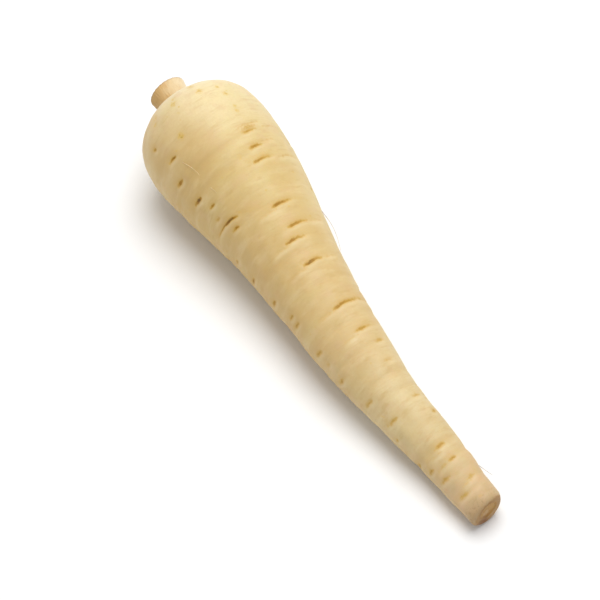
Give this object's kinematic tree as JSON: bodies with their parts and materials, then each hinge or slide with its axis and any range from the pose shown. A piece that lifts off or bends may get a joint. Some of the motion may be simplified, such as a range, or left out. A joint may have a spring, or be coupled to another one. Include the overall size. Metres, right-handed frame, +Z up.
{
  "type": "parsnip",
  "caption": "Whole raw parsnip lying on its side: a domed, tapering root with transverse side-root scars, a cut tip and a short stub of cut leaf stalks. Food prop.",
  "frame": {"origin": "on the ground, under the middle of the parsnip's bounding box", "axes": "+Z up, +X along the root from the crown towards the cut tip, as the parsnip lies on a level surface"},
  "size_m": [0.242, 0.0584, 0.0595],
  "materials": {
    "root_skin": "satin, slightly moist cream-coloured vegetable skin",
    "cut_stalk": "matt, dry and fibrous, tan to brown"
  },
  "bodies": {
    "root": {"root": "root_skin", "leaf_stump": "cut_stalk"}
  },
  "joints": []
}
